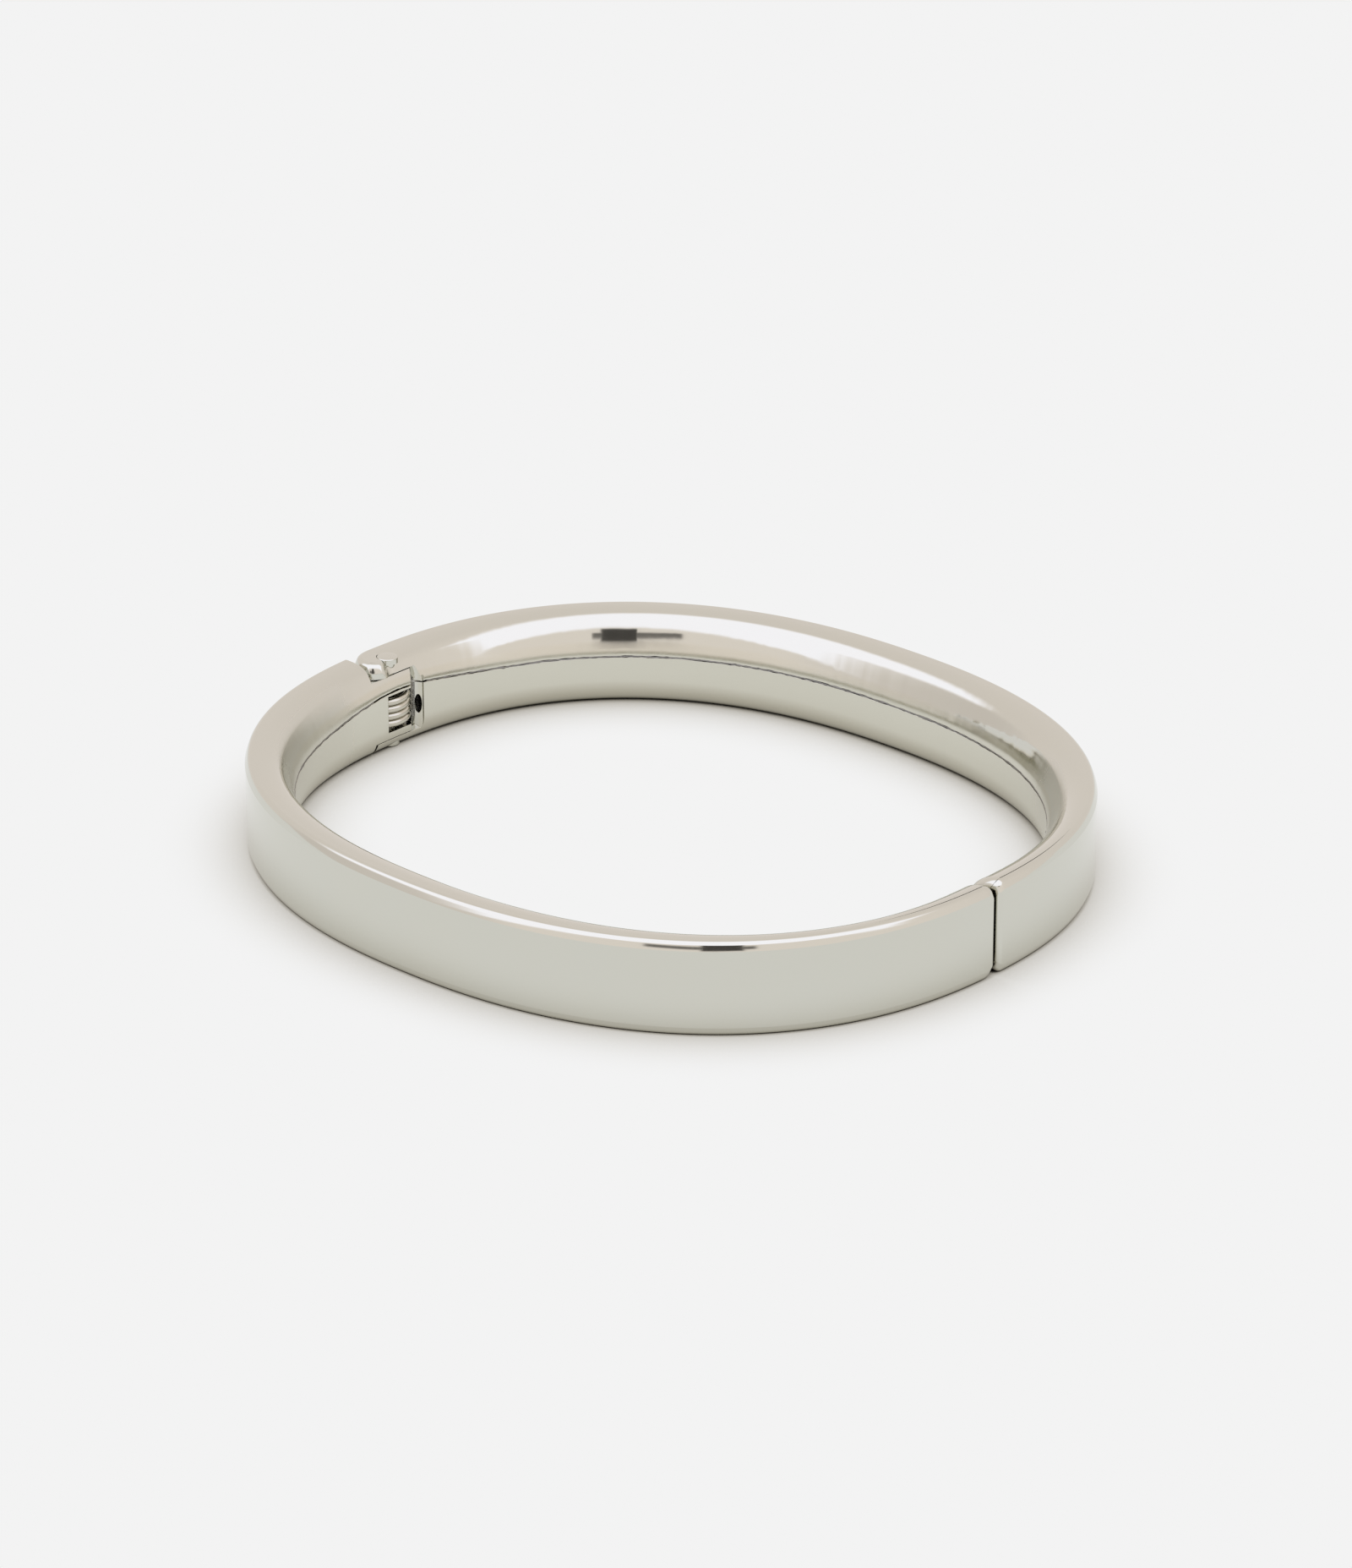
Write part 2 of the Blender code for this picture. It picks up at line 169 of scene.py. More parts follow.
def outline_point(angle):
    """A point of the outer face in plan, on the +Y side for angles from 0 (mouth) to pi (hinge)."""
    along = abs(math.cos(angle) / HALF_LENGTH) ** OUTLINE_POWER
    across = abs(math.sin(angle) / HALF_WIDTH) ** OUTLINE_POWER
    radius = (along + across) ** (-1 / OUTLINE_POWER)
    return np.array((radius * math.cos(angle), radius * math.sin(angle)))


def outline_table(samples=6000):
    """Dense outline: distance from the mouth's axis, point and inward normal."""
    angles = np.linspace(-0.15, math.pi + 0.15, samples)
    points = np.array([outline_point(angle) for angle in angles])
    points[angles < 0, 1] = -np.abs(points[angles < 0, 1])
    points[angles > math.pi, 1] = -np.abs(points[angles > math.pi, 1])
    steps = np.linalg.norm(np.diff(points, axis=0), axis=1)
    distance = np.concatenate(([0], np.cumsum(steps)))
    distance -= np.interp(0, angles, distance)
    tangent = np.gradient(points, axis=0)
    tangent /= np.linalg.norm(tangent, axis=1)[:, None]
    normal = np.stack((-tangent[:, 1], tangent[:, 0]), axis=1)
    return distance, points, normal, angles


OUTLINE = outline_table()
ARM_LENGTH = float(np.interp(math.pi, OUTLINE[3], OUTLINE[0]))


def outline_at(distance):
    """Point and inward normal of the outline at this distance from the mouth."""
    table, points, normals, _ = OUTLINE
    point = np.array([np.interp(distance, table, points[:, axis]) for axis in (0, 1)])
    normal = np.array([np.interp(distance, table, normals[:, axis]) for axis in (0, 1)])
    return point, normal / np.linalg.norm(normal)


def rounding(arcs):
    """(inset, drop below the flat) at even steps of tilt, from the wall's up to the flat's.

    Each arc is the tilt it starts at, the tilt it ends at, and its radius.
    """
    tilts = np.linspace(arcs[0][0], arcs[-1][1], TILTS)
    inset, rise, rows = 0.0, 0.0, []
    for low, high in zip(tilts, tilts[1:]):
        rows.append((inset, rise))
        middle = (low + high) / 2
        radius = next(r for start, stop, r in arcs if start <= middle < stop)
        inset += radius * (math.cos(math.radians(low)) - math.cos(math.radians(high)))
        rise += radius * (math.sin(math.radians(high)) - math.sin(math.radians(low)))
    rows.append((inset, rise))
    return np.array([(inset, rise - height) for inset, height in rows])


EDGE_CURVE = rounding(EDGE_ARCS)
SHOULDER_CURVE = rounding(SHOULDER_ARCS)
MOUTH_CURVE = rounding(MOUTH_ARCS)
BOTTOM_CURVE = rounding(BOTTOM_ARCS)


def profile(curve, foot, lip, stretch=False):
    """(inset, depth below the top face) from the seam up to the flat; foot is the seam's depth.

    With stretch the curve takes up the whole height down to the seam.
    """
    if stretch:
        factor = (foot - lip - WALL_ABOVE_SEAM) / curve[0][1]
        curve = [(inset, drop * factor) for inset, drop in curve]
    wall_start = curve[0][1]
    corner = []
    for degrees in (0, 30, 60, 90):
        turn = math.radians(degrees)
        corner.append((lip * (1 - math.sin(turn)), foot - lip * (1 - math.cos(turn))))
    middle = (foot - lip + wall_start) / 2
    wall = [(0.0, foot - lip - SUPPORT), (0.0, middle), (0.0, wall_start + SUPPORT)]
    return np.vstack((corner + wall, curve, [(curve[-1][0] + SUPPORT, 0.0)]))


# ---------------------------------------------------------------- swept half-shells

def seam_height(y):
    return SEAM_HEIGHT + SEAM_RISE * math.exp(-((y / SEAM_RISE_WIDTH) ** 2))


def seam_noise(point, seed):
    """Hand-finished wander of the seam: a slow drift with fine tooth marks."""
    place = Vector((point[0], point[1], seed * MM))
    slow = noise.noise(place * 450)
    fine = noise.noise(place * 2600)
    return SEAM_WANDER * (0.6 * slow + 0.9 * fine)


def mouth_squeeze(distance, radii):
    """How far the end rounding pulls the walls and the faces in, this far from the end face."""
    pulls = []
    for radius in radii:
        near = min(max(1 - distance / radius, 0.0), 1.0)
        pulls.append(radius * (1 - math.sqrt(1 - near**2)))
    return pulls


class Sweep:
    """One half of an arm as a closed mesh: outer strand, nose (or a flat end) and inner strand."""

    def __init__(self, side, upper, inset=0.0, start=None, stop=None, nose=False):
        self.side = side
        self.upper = upper
        self.inset = inset
        self.thickness = UPPER_THICKNESS if upper else LOWER_THICKNESS
        self.mouth_round = BACK_MOUTH_ROUND if side > 0 else FRONT_MOUTH_ROUND
        self.start = MOUTH_GAP / 2 if start is None else start
        self.stop = ARM_LENGTH if stop is None else stop
        self.nose = nose

    def stations(self):
        """Distances from the mouth: close together over the end rounding, even after it."""
        reach = max(self.mouth_round)
        near = [self.start]
        for step in range(CORNER_STEPS + 1):
            near.append(MOUTH_GAP / 2 + reach * (1 - math.cos(math.pi / 2 * step / CORNER_STEPS)))
        near = [place for place in near if place >= self.start - 1e-9 and place < self.stop - 1e-9]
        count = max(2, round((self.stop - near[-1]) / STATION_STEP))
        even = np.linspace(near[-1], self.stop, count + 1)[1:]
        return sorted(set(round(float(place), 9) for place in near + list(even)))

    def place(self, point, normal, row, strand, squeeze):
        """Turns (inset, depth) rows into points; strand 0 is the outer one and 1 the inner one."""
        across = row[:, 0].copy()
        if strand:
            across = self.thickness - across
        depth = row[:, 1].copy()
        across = self.inset + across * (self.thickness - 2 * self.inset) / self.thickness
        depth = self.inset + depth * (HEIGHT - 2 * self.inset) / HEIGHT
        pull_wall, pull_face = squeeze
        across = pull_wall + across * (self.thickness - 2 * pull_wall) / self.thickness
        depth = pull_face + depth * (HEIGHT - 2 * pull_face) / HEIGHT
        z = HEIGHT - depth if self.upper else depth
        flat = point + normal * across[:, None]
        return np.column_stack((flat[:, 0], self.side * flat[:, 1], z))

    def foot(self, point, strand):
        """Depth of the seam below the half's own flat face at this point."""
        y = self.side * point[1]
        height = seam_height(y)
        if strand:
            towards_half = 1 if self.upper else -1
            height += towards_half * SEAM_GAP / 2
            height += seam_noise((point[0], y), 3 if self.upper else 9)
        return HEIGHT - height if self.upper else height

    def shoulder(self, distance):
        """The wrist side's rounding; the upper one opens out to a slope towards the mouth."""
        if not self.upper:
            return BOTTOM_CURVE
        share = min(max((MOUTH_SLOPE_END - distance) / MOUTH_SLOPE_END, 0.0), 1.0)
        share = share * share * (3 - 2 * share)
        return SHOULDER_CURVE * (1 - share) + MOUTH_CURVE * share

    def rows(self):
        """Every profile of the U-shaped path, mouth to hinge and back."""
        edge = EDGE_CURVE
        lip = LIP_ROUND if self.upper else LEDGE_ROUND
        outer, inner = [], []
        for distance in self.stations():
            point, normal = outline_at(distance)
            squeeze = mouth_squeeze(distance - MOUTH_GAP / 2, self.mouth_round)
            wall = point + normal * self.thickness
            outer_row = profile(edge, self.foot(point, 0), 0.0)
            inner_row = profile(self.shoulder(distance), self.foot(wall, 1), lip, self.upper)
            outer.append(self.place(point, normal, outer_row, 0, squeeze))
            inner.append(self.place(point, normal, inner_row, 1, squeeze))
        middle = self.nose_rows(edge, lip) if self.nose else []
        return outer, middle, inner[::-1]

    def nose_rows(self, edge, lip):
        """Profiles round the ear, from the outer face by the tip to the inner wall."""
        rows, count = [], NOSE_STEPS
        inner_reach = self.thickness - EAR_RADIUS
        for step in range(1, count):
            turn = math.pi * step / count
            point, normal = self.nose_point(turn, inner_reach)
            share = min(max((math.degrees(turn) - 138) / 34, 0.0), 1.0)
            share = share * share * (3 - 2 * share)
            outer_row = profile(edge, self.foot(point, 0), 0.0)
            inner_row = profile(self.shoulder(self.stop), self.foot(point, 0), lip, self.upper)
            row = outer_row * (1 - share) + inner_row * share
            z = HEIGHT - row[:, 1] if self.upper else row[:, 1]
            flat = point + normal * row[:, :1]
            rows.append(np.column_stack((flat, z)))
        return rows

    def nose_point(self, turn, inner_reach):
        """Plan point and inward normal of the ear's rim; turn runs from the outer face to the inner wall."""
        across, along = -math.cos(turn), -math.sin(turn)
        outer_half = turn <= math.pi / 2
        reach = EAR_RADIUS if outer_half else inner_reach
        power = EAR_OUTER_POWER if outer_half else EAR_INNER_POWER
        size = (abs(across) ** power + abs(along) ** power) ** (-1 / power)
        offset = np.array((across * size * reach, along * size * EAR_TIP))
        lean = abs(across * size) ** (power - 1) / reach
        outward = np.array((math.copysign(lean, across), -(abs(along * size) ** (power - 1)) / EAR_TIP))
        outward /= np.linalg.norm(outward)
        return np.array((PIN.x, PIN.y)) + offset, -outward

    def build(self, name):
        outer, nose, inner = self.rows()
        rows = outer + nose + inner
        mesh = bmesh.new()
        grid = [[mesh.verts.new(point) for point in row] for row in rows]
        last = len(grid) - 1
        straight = len(outer) - 1
        for here, after in zip(grid, grid[1:]):
            if here is grid[straight] and not nose:
                continue
            for k in range(len(here) - 1):
                mesh.faces.new((here[k], after[k], after[k + 1], here[k + 1]))
        for k in (0, -1):
            for j in range(straight):
                mesh.faces.new((grid[j][k], grid[j + 1][k], grid[last - j - 1][k], grid[last - j][k]))
            if nose:
                mesh.faces.new([row[k] for row in grid[straight : last - straight + 1]])
        mesh.faces.new(grid[0] + grid[last][::-1])
        if not nose:
            mesh.faces.new(grid[straight] + grid[straight + 1][::-1])
        bmesh.ops.recalc_face_normals(mesh, faces=mesh.faces)
        return mesh_object(name, mesh)


def mesh_object(name, mesh):
    data = bpy.data.meshes.new(name)
    mesh.to_mesh(data)
    mesh.free()
    obj = bpy.data.objects.new(name, data)
    bpy.context.scene.collection.objects.link(obj)
    return obj


def box_cutter(low, high):
    centre = (Vector(low) + Vector(high)) / 2
    size = Vector(high) - Vector(low)
    mesh = bmesh.new()
    bmesh.ops.create_cube(mesh, size=1.0, matrix=Matrix.Translation(centre) @ Matrix.Diagonal((*size, 1.0)))
    return mesh_object("cutter", mesh)


def hinge_cutter(y_low, y_high, z_low, z_high):
    return box_cutter((-FAR, y_low, z_low), (HINGE_SIDE_X, y_high, z_high))


def prism_cutter(outline):
    """An upright prism over a closed outline in plan."""
    mesh = bmesh.new()
    face = mesh.faces.new([mesh.verts.new((x, y, -FAR)) for x, y in outline])
    raised = bmesh.ops.extrude_face_region(mesh, geom=[face])
    top = [item for item in raised["geom"] if isinstance(item, bmesh.types.BMVert)]
    bmesh.ops.translate(mesh, verts=top, vec=(0, 0, 2 * FAR))
    bmesh.ops.recalc_face_normals(mesh, faces=mesh.faces)
    return mesh_object("cutter", mesh)


def cylinder_cutter(radius, low, high):
    steps = 96
    turns = [math.tau * step / steps for step in range(steps)]
    cutter = prism_cutter([(PIN.x + radius * math.cos(t), PIN.y + radius * math.sin(t)) for t in turns])
    for vertex in cutter.data.vertices:
        vertex.co.z = high if vertex.co.z > 0 else low
    return cutter


def past_tongue_cutter():
    """Everything past the fixed arm's end, except a disc about the pin."""
    reach = math.asin(TONGUE_STOP_Y / TONGUE_RADIUS)
    outline = [(-FAR, TONGUE_STOP_Y)]
    steps = 48
    for step in range(steps + 1):
        turn = math.pi - reach - (math.pi - 2 * reach) * step / steps
        outline.append((PIN.x + TONGUE_RADIUS * math.cos(turn), PIN.y + TONGUE_RADIUS * math.sin(turn)))
    outline += [(HINGE_SIDE_X, TONGUE_STOP_Y), (HINGE_SIDE_X, FAR), (-FAR, FAR)]
    return prism_cutter(outline)


def end_hole_cutter():
    """The upright oval hole in the end of the swinging arm, beside the spring."""
    cutter = cylinder_cutter(1.0, -1.0, 1.0)
    for vertex in cutter.data.vertices:
        x, y, z = vertex.co - Vector((PIN.x, PIN.y, 0))
        vertex.co = (HOLE_AT.x + HOLE_REACH[0] * x, EAR_ROOT_Y + 1.5 * MM * z, HOLE_AT.y - HOLE_REACH[1] * y)
    return cutter


def between_ears_cutter():
    """The space between the swinging arm's ears; its end face steps forward and slants on the wrist side."""
    slant_end = BEVEL_START_X + BEVEL_LENGTH
    cutter = prism_cutter([
        (-FAR, -FAR),
        (slant_end, -FAR),
        (slant_end, STEP_Y + BEVEL_SLOPE * (slant_end - BEVEL_START_X)),
        (BEVEL_START_X, STEP_Y),
        (PIN.x, STEP_Y),
        (PIN.x - 0.45 * MM, EAR_ROOT_Y),
        (-FAR, EAR_ROOT_Y),
    ])
    for vertex in cutter.data.vertices:
        vertex.co.z = HEIGHT - UPPER_EAR if vertex.co.z > 0 else LOWER_EAR
    return cutter


def ear_corner_cutter():
    """Rounds the lower ear's outer corner about the pin."""
    outline = [(-FAR, 0), (-FAR, -FAR), (PIN.x, -FAR)]
    for step in range(25):
        turn = math.radians(270 - 90 * step / 24)
        outline.append((PIN.x + EAR_RADIUS * math.cos(turn), LOWER_EAR_REACH * math.sin(turn)))
    return prism_cutter(outline)


def carve(obj, cutters):
    """Subtracts the cutters for good, and removes them."""
    for cutter in cutters:
        modifier = obj.modifiers.new("cut", "BOOLEAN")
        modifier.operation = "DIFFERENCE"
        modifier.solver = "MANIFOLD"
        modifier.object = cutter
    graph = bpy.context.evaluated_depsgraph_get()
    carved = bpy.data.meshes.new_from_object(obj.evaluated_get(graph))
    obj.modifiers.clear()
    obj.data = carved
    for cutter in cutters:
        bpy.data.objects.remove(cutter, do_unlink=True)


def store_surface_map(obj):
    """Writes each vertex's depth in millimetres from the outer face, for the materials."""
    path = OUTLINE[1][::OUTLINE_THINNING]
    places = np.array([(v.co.x, abs(v.co.y)) for v in obj.data.vertices])
    depth = np.empty(len(places))
    for start in range(0, len(places), VERTEX_BATCH):
        part = places[start : start + VERTEX_BATCH]
        gap = np.linalg.norm(part[:, None] - path[None], axis=2)
        depth[start : start + VERTEX_BATCH] = gap.min(axis=1)
    layer = obj.data.attributes.new("depth", "FLOAT", "POINT")
    layer.data.foreach_set("value", (depth / MM).astype(np.float32))


def finish_surface(obj, material, angle=26):
    obj.data.materials.clear()
    obj.data.materials.append(material)
    obj.data.shade_smooth()
    obj.data.set_sharp_from_angle(angle=math.radians(angle))


def make_front_skin(upper, material):
    name = "front_upper_skin" if upper else "front_lower_skin"
    reach = ARM_LENGTH + 2.2 * MM
    skin = Sweep(-1, upper, stop=reach).build(name)
    top = HEIGHT - UPPER_EAR - EAR_CLEARANCE
    bottom = LOWER_EAR + EAR_CLEARANCE
    cutters = [
        hollow(-1, upper, reach + WALL),
        past_tongue_cutter(),
        hinge_cutter(RECESS_Y, FAR, top, FAR) if upper else hinge_cutter(LOWER_RECESS_Y, FAR, -FAR, bottom),
    ]
    if not upper:
        low = (PIN.x, WINDOW_EDGE_Y, WINDOW_BOTTOM)
        cutters.append(box_cutter(low, (HINGE_SIDE_X, FAR, WINDOW_TOP)))
    carve(skin, cutters)
    return place_skin(skin, material, "front_arm", name.replace("skin", "shell"))


def make_back_skin(upper, material):
    name = "back_upper_skin" if upper else "back_lower_skin"
    reach = ARM_LENGTH if upper else ARM_LENGTH + LOWER_EAR_REACH
    skin = Sweep(1, upper, stop=reach, nose=upper).build(name)
    seat = HEIGHT - HEAD_DEPTH if upper else -FAR
    seat_top = FAR if upper else HEAD_DEPTH
    cutters = [
        hollow(1, upper, ARM_LENGTH - EAR_ROOT_Y),
        between_ears_cutter(),
        cylinder_cutter(PIN_RADIUS, -FAR, FAR),
        cylinder_cutter(SEAT_RADIUS, seat, seat_top),
    ]
    score_x = SHELL_LOW.x + LOWER_THICKNESS - SCORE_DEPTH
    cutters.append(box_cutter((score_x, SCORE[0], LOWER_EAR), (HINGE_SIDE_X, SCORE[1], HEIGHT - UPPER_EAR)))
    if not upper:
        cutters += [end_hole_cutter(), ear_corner_cutter()]
    carve(skin, cutters)
    return place_skin(skin, material, "back_arm", name.replace("skin", "shell"))


def hollow(side, upper, stop):
    """The space inside an arm's half, open at the mouth and a little past the seam."""
    core = Sweep(side, upper, inset=WALL, start=-1 * MM, stop=stop).build("cutter")
    past_seam = -1 if upper else 1
    for vertex in core.data.vertices:
        seam = seam_height(vertex.co.y)
        if abs(vertex.co.z - seam) < NEAR_SEAM:
            vertex.co.z += past_seam * PAST_SEAM
    return core


def place_skin(skin, material, body, node):
    store_surface_map(skin)
    finish_surface(skin, material)
    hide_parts(node)
    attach(skin, body)
    return skin


# ---------------------------------------------------------------- small parts

def lathe(name, rows, steps=96):
    """A turned piece about the pin's axis from (radius, height) rows; radius 0 closes an end."""
    mesh = bmesh.new()
    rings = []
    for radius, z in rows:
        if radius == 0:
            rings.append([mesh.verts.new((PIN.x, PIN.y, z))])
            continue
        turns = [math.tau * step / steps for step in range(steps)]
        ring = [(PIN.x + radius * math.cos(t), PIN.y + radius * math.sin(t), z) for t in turns]
        rings.append([mesh.verts.new(point) for point in ring])
    for lower, upper in zip(rings, rings[1:]):
        for step in range(steps):
            after = (step + 1) % steps
            corners = [lower[step % len(lower)], lower[after % len(lower)]]
            corners += [upper[after % len(upper)], upper[step % len(upper)]]
            mesh.faces.new(list(dict.fromkeys(corners)))
    bmesh.ops.recalc_face_normals(mesh, faces=mesh.faces)
    return mesh_object(name, mesh)


def make_rivet(material):
    """Hinge pin: peened head with a soft crown and a rolled rim, plain shank, flush foot."""
    top = PIN_HIGH.z
    crown, rim = 0.03 * MM, 0.10 * MM
    rows = [(0, top), (0.25 * HEAD_RADIUS, top - 0.002 * MM), (0.5 * HEAD_RADIUS, top - 0.25 * crown)]
    for degrees in range(0, 91, 10):
        turn = math.radians(degrees)
        rows.append((HEAD_RADIUS - rim + rim * math.sin(turn), top - crown - rim + rim * math.cos(turn)))
    shank = PIN_RADIUS - RIVET_FIT
    head_foot = HEIGHT - HEAD_DEPTH + RIVET_FIT
    foot_top = HEAD_DEPTH - RIVET_FIT
    rows += [(HEAD_RADIUS, head_foot), (shank, head_foot), (shank, foot_top), (HEAD_RADIUS, foot_top)]
    rows += [(HEAD_RADIUS, PIN_LOW.z + rim / 2), (HEAD_RADIUS - rim / 2, PIN_LOW.z), (0, PIN_LOW.z)]
    rivet = lathe("hinge_rivet", rows)
    finish_surface(rivet, material, 40)
    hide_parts("hinge_pin")
    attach(rivet, "back_arm")
    return rivet


def make_spring(material):
    """Torsion spring: upper leg sunk in the tongue, four close turns, lower leg sunk in the bulkhead."""
    turning = COIL_TURNS * math.tau
    top = COIL_TOP - WIRE_RADIUS
    drop = COIL_PITCH * COIL_TURNS
    points = [(-COIL_REACH.x, COIL_SHIFT - LEG_LENGTH * step / 10, top) for step in range(10, 0, -1)]
    steps = 60 * COIL_TURNS
    for step in range(steps + 1):
        angle = math.pi - turning * step / steps
        height = top - drop * step / steps
        points.append((COIL_REACH.x * math.cos(angle), COIL_SHIFT + COIL_REACH.y * math.sin(angle), height))
    points += [(-COIL_REACH.x, COIL_SHIFT + LEG_LENGTH * step / 10, top - drop) for step in range(1, 11)]
    spring = tube("coil_spring", [(PIN.x + x, PIN.y + y, z) for x, y, z in points], WIRE_RADIUS)
    finish_surface(spring, material, 50)
    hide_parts("torsion_spring")
    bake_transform(spring)
    return spring


def tube(name, points, radius, radii=None, sides=16):
    """A round wire along the points, with flat ends; radii overrides the radius point by point."""
    places = np.array(points)
    tangents = np.gradient(places, axis=0)
    tangents /= np.linalg.norm(tangents, axis=1)[:, None]
    mesh = bmesh.new()
    rings = []
    for index, (place, tangent) in enumerate(zip(places, tangents)):
        side = np.cross(tangent, (0, 0, 1))
        side /= np.linalg.norm(side)
        up = np.cross(side, tangent)
        size = radius if radii is None else radii[index]
        turns = [math.tau * step / sides for step in range(sides)]
        rings.append([mesh.verts.new(place + size * (side * math.cos(t) + up * math.sin(t))) for t in turns])
    for here, after in zip(rings, rings[1:]):
        for step in range(sides):
            other = (step + 1) % sides
            mesh.faces.new((here[step], here[other], after[other], after[step]))
    mesh.faces.new(rings[0])
    mesh.faces.new(rings[-1])
    bmesh.ops.recalc_face_normals(mesh, faces=mesh.faces)
    return mesh_object(name, mesh)


def make_solder(side, body, material):
    """Bead of solder in the corner where the upper wall meets the ledge: thin, uneven, with a few lumps."""
    points, radii = [], []
    for distance in np.arange(2 * MM, ARM_LENGTH - 3.2 * MM, 0.10 * MM):
        point, normal = outline_at(distance)
        wall = point + normal * (UPPER_THICKNESS - 0.03 * MM)
        y = side * wall[1]
        height = seam_height(y) + seam_noise((wall[0], y), 5)
        points.append((wall[0], y, height))
        place = Vector((wall[0], y, 0))
        lump = max(noise.noise(place * 900) - 0.30, 0) * 0.16
        grain = 0.022 * noise.noise(place * 5200)
        radii.append((0.060 + lump + grain) * MM)
    name = "front_seam_solder" if side < 0 else "back_seam_solder"
    bead = tube(name, points, 0, radii, sides=8)
    finish_surface(bead, material, 60)
    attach(bead, body)
    return bead


def solid_slice(name, side, start, stop):
    """A slice that fills the hollow of an arm between two distances: both halves of the sweep, joined."""
    halves = []
    for upper in (True, False):
        halves.append(Sweep(side, upper, inset=WALL + PLUG_FIT, start=start, stop=stop).build(name))
    cap, other = halves
    modifier = cap.modifiers.new("join", "BOOLEAN")
    modifier.operation = "UNION"
    modifier.solver = "MANIFOLD"
    for vertex in other.data.vertices:
        if abs(vertex.co.z - seam_height(vertex.co.y)) < 0.5 * MM:
            vertex.co.z += 0.3 * MM
    modifier.object = other
    graph = bpy.context.evaluated_depsgraph_get()
    joined = bpy.data.meshes.new_from_object(cap.evaluated_get(graph))
    cap.modifiers.clear()
    cap.data = joined
    bpy.data.objects.remove(other, do_unlink=True)
    return cap


def place_satin(piece, material, body, node):
    finish_surface(piece, material)
    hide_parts(node)
    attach(piece, body)
    return piece


def make_mouth_cap(side, body, material):
    """Cap soldered into the mouth end, a hair below the end face."""
    arm = "front" if side < 0 else "back"
    start = MOUTH_GAP / 2 + PLUG_RECESS
    cap = solid_slice(f"{arm}_mouth_cap", side, start, start + PLUG_LENGTH)
    return place_satin(cap, material, body, f"{arm}_mouth_plug")


def make_bulkhead(material):
    """Plate across the swinging arm's end, between its ears, with the oval hole beside the spring."""
    stop = ARM_LENGTH - STEP_Y
    plate = solid_slice("back_bulkhead", 1, stop - PLATE_THICKNESS, stop)
    carve(plate, [between_ears_cutter(), end_hole_cutter()])
    return place_satin(plate, material, "back_arm", "back_end_plate")


# ---------------------------------------------------------------- materials

def add_node(tree, kind, inputs=None, **settings):
    """A shader node with its settings; an input is a value or another node's output."""
    made = tree.nodes.new(kind)
    for name, value in settings.items():
        setattr(made, name, value)
    for key, value in (inputs or {}).items():
        if isinstance(value, bpy.types.NodeSocket):
            tree.links.new(value, made.inputs[key])
        else:
            made.inputs[key].default_value = value
    return made


def maths(tree, operation, *values, clamp=False):
    made = add_node(tree, "ShaderNodeMath", dict(enumerate(values)), operation=operation, use_clamp=clamp)
    return made.outputs[0]


def ramp(tree, value, low, high, start=0.0, end=1.0):
    """Smooth step of value between low and high, giving start to end."""
    inputs = {"Value": value, "From Min": low, "From Max": high, "To Min": start, "To Max": end}
    return add_node(tree, "ShaderNodeMapRange", inputs, interpolation_type="SMOOTHSTEP").outputs[0]


def between(tree, value, low, high, soft):
    """1 while value lies between low and high, with soft edges."""
    rise = ramp(tree, value, low - soft, low + soft)
    fall = ramp(tree, value, high - soft, high + soft, 1.0, 0.0)
    return maths(tree, "MULTIPLY", rise, fall)


def mix_value(tree, share, first, second):
    return add_node(tree, "ShaderNodeMix", {0: share, 2: first, 3: second}, data_type="FLOAT").outputs[0]


def mix_colour(tree, share, first, second):
    made = add_node(tree, "ShaderNodeMix", {0: share}, data_type="RGBA")
    for index, value in ((6, first), (7, second)):
        if isinstance(value, bpy.types.NodeSocket):
            tree.links.new(value, made.inputs[index])
        else:
            made.inputs[index].default_value = (*value, 1.0)
    return made.outputs[2]


def noise_value(tree, vector, scale, detail=2.0, roughness=0.5):
    inputs = {"Vector": vector, "Scale": scale, "Detail": detail, "Roughness": roughness}
    return add_node(tree, "ShaderNodeTexNoise", inputs).outputs[0]


def stretched(tree, vector, scale):
    inputs = {"Vector": vector, "Scale": scale}
    return add_node(tree, "ShaderNodeMapping", inputs, vector_type="POINT").outputs[0]


def bump(tree, height, distance, strength=1.0, normal=None):
    inputs = {"Height": height, "Distance": distance, "Strength": strength}
    if normal is not None:
        inputs["Normal"] = normal
    return add_node(tree, "ShaderNodeBump", inputs).outputs[0]


def attribute(tree, name):
    return add_node(tree, "ShaderNodeAttribute", attribute_name=name).outputs["Fac"]


def new_metal(name):
    material = bpy.data.materials.new(name)
    material.use_nodes = True
    tree = material.node_tree
    shader = tree.nodes["Principled BSDF"]
    shader.inputs["Metallic"].default_value = 1.0
    where = add_node(tree, "ShaderNodeTexCoord").outputs["Object"]
    return material, tree, shader, where


def plug_in(tree, shader, colour, roughness, normal):
    tree.links.new(colour, shader.inputs["Base Color"])
    tree.links.new(roughness, shader.inputs["Roughness"])
    tree.links.new(normal, shader.inputs["Normal"])


PLATE = (0.645, 0.645, 0.585)
PLATE_WARM = (0.655, 0.645, 0.575)
PLATE_INNER = (0.640, 0.625, 0.540)
SATIN = (0.56, 0.548, 0.515)
SATIN_DARK = (0.46, 0.448, 0.42)
STEEL = (0.62, 0.595, 0.51)
STEEL_DARK = (0.54, 0.515, 0.44)
SOLDER = (0.34, 0.325, 0.30)
SOLDER_DARK = (0.15, 0.142, 0.13)
BEND_ROUGHNESS = 0.34
# Depths from the outer face, in millimetres as the attribute holds them.
INNER_DEPTH = (3.35, 3.50)
SHOULDER_DEPTH = (2.45, 3.00)
BEND_DEPTH = (1.90, 2.60)
